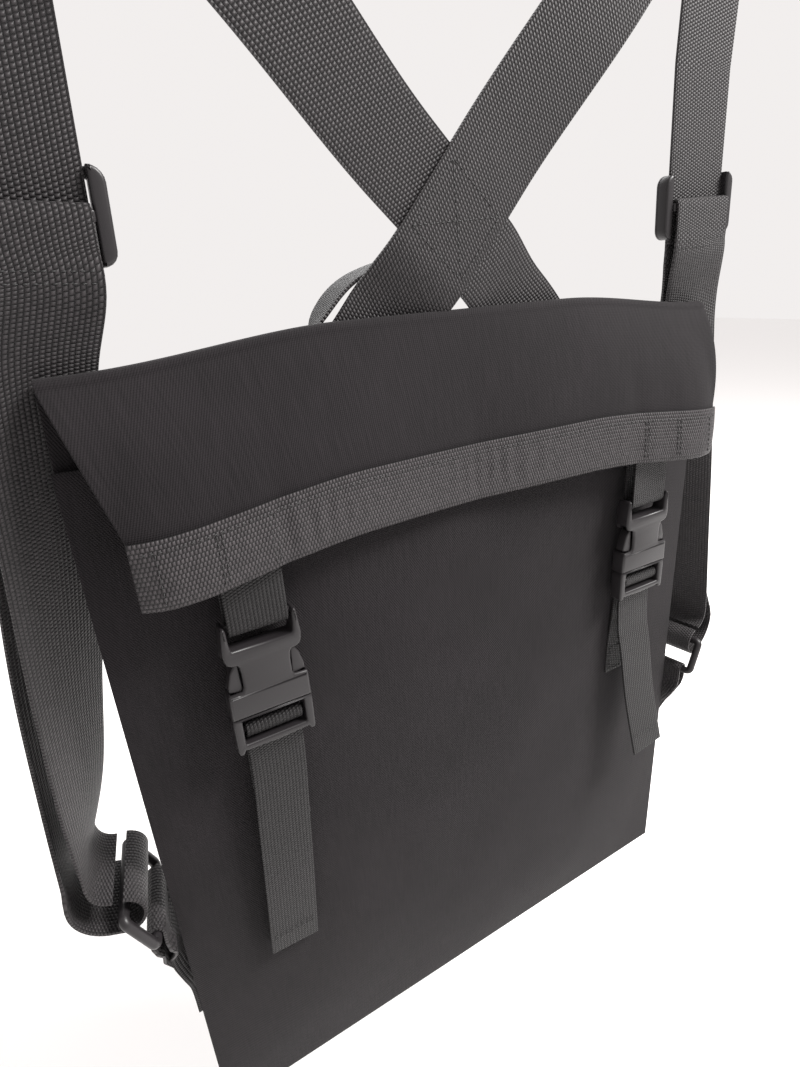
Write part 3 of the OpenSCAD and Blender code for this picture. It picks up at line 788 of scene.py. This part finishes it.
class HARNESS_OT_finishes(Operator):
    """Make the canvas, webbing, plastic, thread and floor finishes"""

    bl_idname = "harness_bag.finishes"
    bl_label = "Finishes"

    def execute(self, context):
        f = settings().finish
        weave = weave_group()
        woven("Webbing", weave, 1.75 * MM, 1.55 * MM, 0.2, 0.50 * MM)
        # Tape is a shaded copy of the webbing: its colour dimmed to 0.4 is painted shade, matching the dark
        # of the hanging tails.
        woven("Tape", weave, 1.6 * MM, 1.35 * MM, 0.2, 0.45 * MM, 0.4)
        # Hem webbing is a lit copy of the webbing: its colour brightened 1.6 times is painted light where the
        # hem tilts up towards the key light.
        woven("Lit hem webbing", weave, 1.75 * MM, 1.45 * MM, 0.0, 0.50 * MM, 1.6)

        canvas, shader = new_material("Canvas", f.canvas, 0.86)
        node = canvas.node_tree.nodes.new("ShaderNodeGroup")
        node.node_tree = twill_group()
        canvas.node_tree.links.new(flat_coordinates(canvas), node.inputs["Flat"])
        low = tuple(c * 0.2 for c in f.canvas)
        high = tuple(c * 2.2 for c in f.canvas)
        tinted(canvas, shader, node.outputs["Shade"], low, high)
        bumped(canvas, shader, node.outputs["Height"], 0.22 * MM)
        shader.inputs["Specular IOR Level"].default_value = 0.14
        shader.inputs["Sheen Weight"].default_value = 0.03
        shader.inputs["Sheen Roughness"].default_value = 0.6

        plastic, shader = new_material("Plastic", f.plastic, 0.40)
        place = plastic.node_tree.nodes.new("ShaderNodeTexCoord")
        grain = plastic.node_tree.nodes.new("ShaderNodeTexNoise")
        grain.inputs["Scale"].default_value = 2600.0
        plastic.node_tree.links.new(place.outputs["Object"], grain.inputs["Vector"])
        bumped(plastic, shader, grain.outputs["Fac"], 0.05 * MM, 0.6)
        shader.inputs["Specular IOR Level"].default_value = 0.3

        new_material("Thread", f.thread, 0.6)
        new_material("Lining", tuple(c * 0.9 for c in f.canvas), 0.8)
        new_material("Floor", f.floor, 0.9)
        return {"FINISHED"}


# ---------- pieces ----------

class HARNESS_OT_pouch(Operator):
    """Make the two panels, the lining and the bound mouth"""

    bl_idname = "harness_bag.pouch"
    bl_label = "Pouch"

    def execute(self, context):
        f = form()
        thick = f.bag.canvas

        def spread(u, half=f.half):
            """Across the panel, with the points closer together near the seams."""
            return half * math.sin(math.radians(90 * (2 * u - 1)))

        def front_flat(u, v):
            return (spread(u), mix(f.bottom, f.mouth, v))

        def front(u, v):
            x, z = front_flat(u, v)
            return Vector((x, f.front(x, z), z))

        obj = add_piece("front_panel_cloth", grid(90, 100, front, front_flat), "Canvas", ROOT,
                        ["front_panel"])
        thicken(obj, thick, 0.3 * MM)

        turn = 0.12    # share of the back's rows that go round the fold

        def back(u, v):
            x = spread(u)
            if v <= 1 - turn:
                z = mix(f.bottom, f.hinge.z, v / (1 - turn))
                top = ease((z - f.fold) / CROWN + 1)
                side = mix(1, f.roll_half / f.half, top)
                return Vector((x * side, f.back(x, z), z + f.arch(x) * top))
            a = math.radians(150 * (v - 1 + turn) / turn)
            return Vector((x * f.roll_half / f.half, f.hinge.y + f.roll * math.cos(a),
                           f.hinge.z + f.arch(x) + f.roll * math.sin(a)))

        def back_flat(u, v):
            return (spread(u), mix(f.bottom, f.fold, v))

        obj = add_piece("back_panel_cloth", grid(90, 110, back, back_flat), "Canvas", ROOT,
                        ["back_panel"])
        thicken(obj, thick)

        reach = f.half - 12 * MM
        top = f.mouth - 14 * MM
        low = f.bottom + 14 * MM

        def lining(u, v):
            x = spread(u, reach)
            if v < 0.47:
                z = mix(top, low, v / 0.47)
                return Vector((x, f.front(x, z) + 1.5 * MM, z))
            if v > 0.53:
                z = mix(low, top, (v - 0.53) / 0.47)
                return Vector((x, f.back(x, z) - 1.5 * MM, z))
            y = mix(f.front(x, low) + 1.5 * MM, f.back(x, low) - 1.5 * MM, (v - 0.47) / 0.06)
            return Vector((x, y, low - 2 * MM * math.sin(math.pi * (v - 0.47) / 0.06)))

        obj = add_piece("lining_cloth", grid(50, 100, lining, lambda u, v: (mix(-reach, reach, u), 0.72 * v)),
                        "Lining", ROOT, ["lining"])
        thicken(obj, 0.4 * MM)

        wide = f.half - 19 * MM

        def binding_flat(u, v):
            return (BINDING_TAPE * v, mix(-wide, wide, u))

        def binding(u, v):
            x = mix(-wide, wide, u)
            out = f.bag.canvas / 2 + 0.55 * MM
            if v < 0.4:
                z = mix(f.mouth - 12 * MM, f.mouth, v / 0.4)
                return Vector((x, f.front(x, z) - out, z))
            if v > 0.6:
                z = mix(f.mouth, f.mouth - 12 * MM, (v - 0.6) / 0.4)
                return Vector((x, f.front(x, z) + out, z))
            a = math.pi * (v - 0.4) / 0.2
            return Vector((x, f.front(x, f.mouth) - out * math.cos(a), f.mouth + out * math.sin(a)))

        obj = add_piece("mouth_binding_tape", grid(80, 20, binding, binding_flat), "Tape", ROOT,
                        ["mouth_binding"])
        thicken(obj, 0.7 * MM)
        return {"FINISHED"}


def hem_point(x, v):
    """A place on the hem: v runs down its front, under the edge and up its back."""
    f = form()
    out = f.bag.canvas / 2 + 0.7 * MM
    if v < 0.45:
        pucker = math.sin(x * 720 + 2 * math.sin(x * 95)) * (0.5 + 0.5 * math.sin(x * 61 + 1))
        pucker *= 0.32 * MM * math.sin(math.pi * v / 0.45) * (1 - ease((abs(x) - 100 * MM) / (20 * MM)))
        return f.on_flap(x, mix(f.hem_top, 1, v / 0.45), out + 0.3 * MM + pucker)
    if v > 0.55:
        return f.on_flap(x, mix(1, f.hem_top, (v - 0.55) / 0.45), -out)
    a = math.pi * (v - 0.45) / 0.1
    edge = f.on_flap(x, 1, 0)
    normal = f.on_flap(x, 1, out) - edge
    down = Vector((0, normal.z, -normal.y))
    if down.z > 0:
        down = -down
    return edge + normal * math.cos(a) + down * math.sin(a)


class HARNESS_OT_flap(Operator):
    """Make the flap and its folded webbing hem"""

    bl_idname = "harness_bag.flap"
    bl_label = "Flap"

    def execute(self, context):
        f = form()

        def stretch(v):
            """The first fifth of the rows goes round the fold, the rest runs down the flap."""
            return (v - 0.2) / 0.8 if v > 0.2 else (v - 0.2) / 0.2

        def cloth(u, v):
            s = stretch(v)
            x = (2 * u - 1) * f.flap_half(s)
            return f.flap_mid(x, s)

        def flat(u, v):
            s = stretch(v)
            return ((2 * u - 1) * f.roll_half, f.bag.flap * s if s > 0 else ROUND_FOLD * s)

        obj = add_piece("flap_cloth", grid(120, 80, cloth, flat), "Canvas", None, ["flap"])
        thicken(obj, f.bag.canvas, 0.3 * MM)
        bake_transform(obj)

        half = f.bag.hem_half
        obj = add_piece("flap_hem_webbing",
                        grid(260, 26, lambda u, v: hem_point(mix(-half, half, u), v),
                             lambda u, v: (HEM_TAPE * v, mix(-half, half, u))),
                        "Lit hem webbing", "flap_body", ["flap_hem"])
        thicken(obj, 1.1 * MM, 0.3 * MM)
        return {"FINISHED"}


class HARNESS_OT_shoulder_straps(Operator):
    """Make the crossed shoulder straps and the ends that return from the sliders"""

    bl_idname = "harness_bag.shoulder_straps"
    bl_label = "Shoulder straps"

    def execute(self, context):
        s = settings().strap
        for name, side in SIDES:
            path = over_path(side) + side_path()
            strip(f"{name}_strap_webbing", mirrored(path, side), s.width, s.thick, ROOT,
                  [f"{name}_shoulder_strap"])
            obj = strip(f"{name}_return_webbing", mirrored(return_path(), side), s.width, s.thick, None,
                        [f"{name}_strap_return"])
            low = form().fold - 60 * MM
            high = form().fold + 20 * MM
            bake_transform(obj)
        return {"FINISHED"}


class HARNESS_OT_sliders(Operator):
    """Make the two strap sliders"""

    bl_idname = "harness_bag.sliders"
    bl_label = "Sliders"

    def execute(self, context):
        height = form().fold + SLIDER_RISE
        centre = run_point(height)
        wide, high = 26 * MM, 15 * MM
        frame_line = rounded(-wide, -high, wide, high, 5 * MM)
        window = rounded(-21.4 * MM, -11.4 * MM, 21.4 * MM, 11.4 * MM, 1.5 * MM)[::-1]
        bar = rounded(-21 * MM, -2.1 * MM, 21 * MM, 2.1 * MM, 1 * MM)
        for name, side in SIDES:
            at = (Matrix.Diagonal((side, 1, 1, 1)) @ Matrix.Translation((centre.x, 0, height))
                  @ Matrix.Rotation(-math.atan(RUN_SLOPE), 4, "Y"))

            def layer(y):
                return at @ Matrix.Translation((0, y * MM, 0))

            parts = [plate("slider", [frame_line, window], 2.2 * MM, 0.8 * MM, layer(9.1)),
                     plate("slider", [bar], 2.2 * MM, 0.8 * MM, layer(3.2))]
            for way in (-1, 1):
                rail = [(way * max(x, 20.7 * MM), z)
                        for x, z in rounded(12 * MM, -high, wide, high, 5 * MM)][::way]
                parts.append(plate("slider", [rail], 6.4 * MM, 1.2 * MM, layer(6.2)))
            add_piece(f"{name}_slider_body_plate", merged(parts), "Plastic", f"{name}_slider_body",
                      [f"{name}_slider"])
        return {"FINISHED"}


class HARNESS_OT_rings(Operator):
    """Make the corner rings and the tabs that hold them"""

    bl_idname = "harness_bag.rings"
    bl_label = "Rings"

    def execute(self, context):
        corner = rounded(-23 * MM, -RING_PITCH, 23 * MM, 0, 2.6 * MM, 6)
        for name, side in SIDES:
            at = (Matrix.Diagonal((side, 1, 1, 1)) @ Matrix.Translation(ring_point(0, 0))
                  @ Matrix.Rotation(math.pi - RING_TURN, 4, "Z") @ Matrix.Rotation(RING_LEAN, 4, "X"))
            line = [(x, 0, z) for x, z in corner]
            add_piece(f"{name}_ring_loop", rod("ring", line, 2.4 * MM, at, closed=True), "Plastic",
                      f"{name}_ring_body", [f"{name}_ring"])
            strip(f"{name}_ring_tab_webbing", mirrored(tab_path(), side), settings().strap.width - 4 * MM,
                  settings().strap.thick, ROOT, [f"{name}_ring_tab"])
        return {"FINISHED"}


def at_buckle(side):
    f = form()
    return Matrix.Translation((side * f.buckle.place, f.buckle_y, f.buckle_z))


def down_buckle(side, points):
    """Stations from depths and heights measured at the buckle's upper bar."""
    at = at_buckle(side).translation
    return [(at + vec(0, y, z), Vector((1, 0, 0))) for y, z in points]


def hook_points(radius, centre, start, end, n=14):
    return [(y, centre + z) for y, z in arc(radius, start, end, n)]


def tail_path(side):
    f = form()
    b = f.buckle
    tail, kick, drift = ((b.left_tail, b.left_kick, b.left_drift) if side < 0
                         else (b.right_tail, b.right_kick, b.right_drift))
    low, y = -58.0, 1.7
    end = low - tail / MM
    x = side * f.buckle.place
    end_y = (f.front(x, f.buckle_z + end * MM) - f.bag.canvas / 2 - kick - f.buckle_y) / MM
    stations = down_buckle(side, [(-2.4, LADDER - 1), (-1.2, LADDER - 3.2), (1.5, LADDER - 5.6), (y, low),
                                  (mix(y, end_y, 0.01), low - 9), (mix(y, end_y, 0.05), low - 24),
                                  (mix(y, end_y, 0.18), mix(low, end, 0.36)),
                                  (mix(y, end_y, 0.46), mix(low, end, 0.66)), (end_y, end)])
    shares = (0, 0, 0, 0, 0, 0.08, 0.3, 0.62, 1)
    hang = smooth([(p + Vector((side * drift * share, 0, 0)), w)
                   for (p, w), share in zip(stations, shares)], 8)
    return down_buckle(side, hook_points(2.5, LADDER, -20, 180)) + hang


def anchor_path(side):
    f = form()
    x = side * f.buckle.place

    def on_bag(z):
        return (f.front(x, f.buckle_z + z * MM) - f.bag.canvas / 2 - 0.9 * MM - f.buckle_y) / MM

    return smooth(down_buckle(side, [(on_bag(-116), -116), (on_bag(-96), -96), (6.0, -72), (5.2, -60),
                                     (5.2, -49)]), 8)


class HARNESS_OT_buckle_webbing(Operator):
    """Make the tapes that hold the buckles, their free tails and their sewn ends"""

    bl_idname = "harness_bag.buckle_webbing"
    bl_label = "Buckle webbing"

    def execute(self, context):
        f = form()
        eye = 2.9
        for name, side in SIDES:
            loop = ([(-eye, z) for z in (38, 26, 14, 2)] + hook_points(eye, 0, 180, 360)
                    + [(eye, z) for z in (2, 14, 26, 38)])
            obj = strip(f"{name}_buckle_tape", down_buckle(side, loop), f.buckle.tape, 1.3 * MM, None,
                        [f"{name}_buckle_strap"], "Tape", 1.2 * MM)
            bend = at_buckle(side).translation + vec(0, 0, 18)
            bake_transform(obj)
            strip(f"{name}_tail_tape", tail_path(side), f.buckle.tape, 1.3 * MM, f"{name}_plug_body",
                  [f"{name}_buckle_tail"], "Tape", 1.2 * MM)
            strip(f"{name}_anchor_tape", anchor_path(side), f.buckle.tape, 1.3 * MM, ROOT,
                  [f"{name}_anchor_strap"], "Tape", 1.5 * MM)
        return {"FINISHED"}


def in_mm(points):
    return [(x * MM, z * MM) for x, z in points]


SOCKET_HALF = [(0, -8.5), (12.4, -8.5), (13.0, -7.6), (13.4, -4), (13.6, 0.6), (14.1, 2.0), (15.0, 2.2),
               (15.7, 1.2), (16.2, -4), (16.7, -9), (16.4, -12), (15.6, -14.2), (14.0, -15.2), (11.6, -15.6),
               (10.9, -16.6), (10.5, -20), (10.6, -26.2), (11.4, -28.0), (16.6, -28.2), (17.2, -28.8),
               (17.3, -30.5), (17.5, -40.5), (0, -40.5)]
PLUG_HALF = [(0, -40.8), (17.5, -40.8), (17.6, -44), (17.5, -56.8), (17.0, -58.3), (15.6, -58.6),
             (14.8, -57.8), (14.3, -56.6), (13.2, -56.8), (0, -57.4)]
WING = [(11.0, -16.2), (11.7, -15.3), (13.0, -15.8), (14.9, -19.2), (16.3, -24.5), (16.5, -27.2),
        (15.6, -27.9), (12.9, -28.4), (12.6, -41.6), (9.8, -41.6), (10.3, -29), (10.9, -22)]
TONGUE_HALF = [(1.7, -18.5), (2.8, -21), (3.2, -41.6)]


class HARNESS_OT_buckles(Operator):
    """Make the side-release buckles"""

    bl_idname = "harness_bag.buckles"
    bl_label = "Buckles"

    def execute(self, context):
        for name, side in SIDES:
            at = at_buckle(side)
            body = plate("socket", [in_mm(both_sides(SOCKET_HALF))[::-1]], 9 * MM, 1.3 * MM, at)
            centre = at.translation
            body = cut(body, centre + vec(-16.2, -3.1, -41.5), centre + vec(16.2, 3.1, -12.5))
            bar = rod("bar", [(-14.5 * MM, 0, 0), (14.5 * MM, 0, 0)], 1.9 * MM, at)
            add_piece(f"{name}_buckle_socket_shell", merged([body, bar]), "Plastic", f"{name}_socket_body",
                      [f"{name}_buckle_socket"])

            window = rounded(-13.7 * MM, -53.9 * MM, 13.7 * MM, -42.4 * MM, 0.8 * MM)[::-1]
            parts = [plate("plug", [in_mm(both_sides(PLUG_HALF))[::-1], window], 8 * MM, 1.0 * MM, at),
                     rod("ladder", [vec(-14, 0, LADDER), vec(14, 0, LADDER)], 1.5 * MM, at)]
            for way in (1, -1):
                arm = in_mm([(way * x, z) for x, z in WING])
                parts.append(plate("wing", [arm[::-way]], 5.4 * MM, 0.7 * MM, at))
            tongue = in_mm(both_sides(TONGUE_HALF))[::-1]
            parts.append(plate("tongue", [tongue], 4.6 * MM, 0.6 * MM, at))
            add_piece(f"{name}_buckle_plug_shell", merged(parts), "Plastic", f"{name}_plug_body",
                      [f"{name}_buckle_plug"])
        return {"FINISHED"}


def handle_path():
    rise = [(60, 1.8, -56, (1, 0, 0)), (60, 1.8, -40, (1, 0, 0)), (61, 2, -22, (1, 0, 0)),
            (63, 3.6, -4, (0.7, 0.7, 0)), (57, 3, 12, (0.1, 1, 0)), (38, 2.6, 27, (0, 1, 0))]
    left = [(below_fold(-x, 18.1 + y, z), Vector(w)) for x, y, z, w in rise]
    right = [(below_fold(x, 18.1 + y, z), Vector((-w[0], w[1], w[2]))) for x, y, z, w in rise]
    return smooth(left + [(below_fold(0, 20.7, 34), Vector((0, 1, 0)))] + right[::-1], 8)


class HARNESS_OT_handle(Operator):
    """Make the grab handle and the patch over the straps' sewn ends"""

    bl_idname = "harness_bag.handle"
    bl_label = "Handle and patch"

    def execute(self, context):
        strip("grab_handle_webbing", handle_path(), 20 * MM, 1.4 * MM, ROOT, ["grab_handle"])
        patch = [(below_fold(x, 18.1, -50), Vector((0, 0, 1))) for x in (-100, 0, 100)]
        strip("strap_patch_webbing", patch, 52 * MM, 1.0 * MM, ROOT, ["strap_patch"])
        return {"FINISHED"}


def back_box(x0, z0, x1, z1, y):
    """A closed rectangle on the bag's back."""
    return [below_fold(x, y, z) for x, z in ((x0, z0), (x1, z0), (x1, z1), (x0, z1), (x0, z0))]


class HARNESS_OT_stitching(Operator):
    """Make the stitching on the webbing"""

    bl_idname = "harness_bag.stitching"
    bl_label = "Stitching"

    def execute(self, context):
        f = form()
        s = f.strap

        # box with crossed diagonals where the straps cross
        inset = s.width / 2 - 4 * MM
        n1 = Vector((math.sin(s.right_lean), -math.cos(s.right_lean)))
        n2 = Vector((math.sin(s.left_lean), math.cos(s.left_lean)))
        det = n1.x * n2.y - n1.y * n2.x
        centre = Vector((MM, 1.6 * MM - s.thick / 2 - 0.05 * MM, f.fold + CROSS_RISE))

        def meet(a, b):
            return centre + Vector(((a * n2.y - b * n1.y) / det, 0, (b * n1.x - a * n2.x) / det))

        corner = [meet(inset, inset), meet(-inset, inset), meet(-inset, -inset), meet(inset, -inset)]
        box = seam(corner + corner[:1], FRONT) + seam(corner[::2], FRONT) + seam(corner[1::2], FRONT)
        sew("crossing_stitches", box, ROOT, ["cross_stitching"])

        # along the hem's upper edge, across it at the tapes and at its ends
        out = f.bag.canvas / 2 + 1.75 * MM
        seams = []

        def hem_line(places):
            points = [f.on_flap(x, u, out) for x, u in places]
            normals = [(f.on_flap(x, u, 2 * out) - p).normalized() for (x, u), p in zip(places, points)]
            seams.extend(stitch_line(points, normals))

        line = f.hem_top + 4.5 * MM / f.bag.flap
        hem_line([(x, line) for x in steps(-f.bag.hem_half + 3 * MM, f.bag.hem_half - 3 * MM, 120)])
        for x in (-146, -124.5, -122.5, -103.5, -101.5, 101.5, 103.5, 122.5, 124.5, 146):
            hem_line([(x * MM, u) for u in steps(line, 0.985, 8)])
        sew("hem_stitches", seams, "flap_body")

        for name, side in SIDES:
            # across the end that is sewn below the slider
            path = mirrored(return_path(), side)
            line = []
            for height in (31, 33.5):
                p, wide = min((at for at in path if at[0].y < 3 * MM),
                              key=lambda at: abs(at[0].z - f.fold - height * MM))
                start = p - wide * 18.5 * MM - Vector((0, s.thick / 2, 0))
                line += seam([start, start + wide * 37 * MM], FRONT)
            sew(f"{name}_return_stitches", line, f"{name}_slider_body")

            # across the tail's turned end
            path = even(tail_path(side), 1 * MM)
            line = []
            for back in (10, 12):
                place = path[-1 - back][0] - vec(0, 0.65, 0)
                line += seam([place - vec(11, 0, 0), place + vec(11, 0, 0)], FRONT)
            sew(f"{name}_tail_stitches", line, f"{name}_plug_body")

            # box on the anchor's sewn end
            path = even(anchor_path(side), 1 * MM)
            low, high = path[2][0], path[18][0]
            left, right = vec(-10, -0.7, 0), vec(10, -0.7, 0)
            loop = [low + left, low + right, high + right, high + left, low + left]
            sew(f"{name}_anchor_stitches", seam(loop, FRONT), ROOT)

        # the patch and the tabs on the back
        line = []
        for box in ((-96, -72, 96, -28, 18.7), (-68, -70, -52, -30, 20.7), (52, -70, 68, -30, 20.7),
                    (-140, -328, -168, -310, 15.4), (140, -328, 168, -310, 15.4)):
            line += seam(back_box(*box), BACK)
        sew("back_stitches", line, ROOT)
        return {"FINISHED"}


# ---------- stage ----------

FLOOR_DROP = 0.16
CAMERA_PLACE = Vector((-0.1674, -0.2384, -0.1756))
CAMERA_AHEAD = Vector((0.4449, 0.8127, -0.3762))
CAMERA_RIGHT = Vector((0.8623, -0.5018, -0.0642))
CAMERA_LENS = 28.3


def area_light(name, place, target, size, energy, tint=(1, 1, 1)):
    data = bpy.data.lights.new(name, "AREA")
    data.shape = "SQUARE"
    data.size = size
    data.energy = energy
    data.color = tint
    light = bpy.data.objects.new(name, data)
    light.location = place
    light.rotation_euler = (Vector(target) - Vector(place)).to_track_quat("-Z", "Y").to_euler()
    bpy.context.scene.collection.objects.link(light)


class HARNESS_OT_stage(Operator):
    """Make the floor, the light and the camera"""

    bl_idname = "harness_bag.stage"
    bl_label = "Stage"

    def execute(self, context):
        bm = bmesh.new()
        bmesh.ops.create_grid(bm, x_segments=1, y_segments=1, size=6,
                              matrix=Matrix.Translation((0, 0, form().bottom - FLOOR_DROP)))
        mesh = bpy.data.meshes.new("floor")
        bm.to_mesh(mesh)
        bm.free()
        mesh.materials.append(bpy.data.materials["Floor"])
        floor = bpy.data.objects.new("floor", mesh)
        context.scene.collection.objects.link(floor)

        world = bpy.data.worlds.new("Studio")
        world.use_nodes = True
        shade = world.node_tree.nodes["Background"]
        shade.inputs["Color"].default_value = (0.965, 0.935, 0.925, 1)
        shade.inputs["Strength"].default_value = 0.92
        context.scene.world = world
        context.scene.view_settings.view_transform = "Standard"

        middle = (0, 0, form().fold - 0.1)
        area_light("Key", (1.0, -0.75, 1.0), middle, 0.6, 80, (1.0, 0.985, 0.97))
        area_light("Back", (0.4, 1.2, 0.5), middle, 1.2, 12)

        camera = bpy.data.objects.new("Camera", bpy.data.cameras.new("Camera"))
        camera.data.sensor_fit = "HORIZONTAL"
        camera.data.sensor_width = 36
        camera.data.lens = CAMERA_LENS
        camera.data.clip_start = 0.01
        ahead = CAMERA_AHEAD.normalized()
        right = (CAMERA_RIGHT - CAMERA_RIGHT.dot(ahead) * ahead).normalized()
        up = right.cross(ahead)
        turn = Matrix((right, up, -ahead)).transposed().to_4x4()
        camera.matrix_world = Matrix.Translation(CAMERA_PLACE) @ turn
        context.scene.collection.objects.link(camera)
        context.scene.camera = camera
        return {"FINISHED"}


class HARNESS_PT_panel(Panel):
    """Sizes, finishes and the steps that build the bag"""

    bl_idname = "HARNESS_PT_panel"
    bl_label = "Harness bag"
    bl_space_type = "VIEW_3D"
    bl_region_type = "UI"
    bl_category = "Harness Bag"

    def draw(self, context):
        groups = settings()
        for label, group in (("Bag", groups.bag), ("Straps", groups.strap), ("Buckles", groups.buckle),
                             ("Finish", groups.finish)):
            column = self.layout.column()
            column.label(text=label)
            for key in group.__annotations__:
                column.prop(group, key)
        for step in STEPS:
            self.layout.operator(step.bl_idname)


STEPS = (HARNESS_OT_finishes, HARNESS_OT_pouch, HARNESS_OT_flap, HARNESS_OT_shoulder_straps,
         HARNESS_OT_sliders, HARNESS_OT_rings, HARNESS_OT_buckle_webbing, HARNESS_OT_buckles,
         HARNESS_OT_handle, HARNESS_OT_stitching, HARNESS_OT_stage)
CLASSES = (BagSettings, StrapSettings, BuckleSettings, FinishSettings, HarnessSettings,
           *STEPS, HARNESS_PT_panel)


def register():
    for cls in CLASSES:
        bpy.utils.register_class(cls)
    bpy.types.Scene.harness_bag = PointerProperty(type=HarnessSettings)


def unregister():
    del bpy.types.Scene.harness_bag
    for cls in reversed(CLASSES):
        bpy.utils.unregister_class(cls)


def main():
    register()
    for step in STEPS:
        group, name = step.bl_idname.split(".")
        getattr(getattr(bpy.ops, group), name)()


if __name__ == "__main__":
    main()
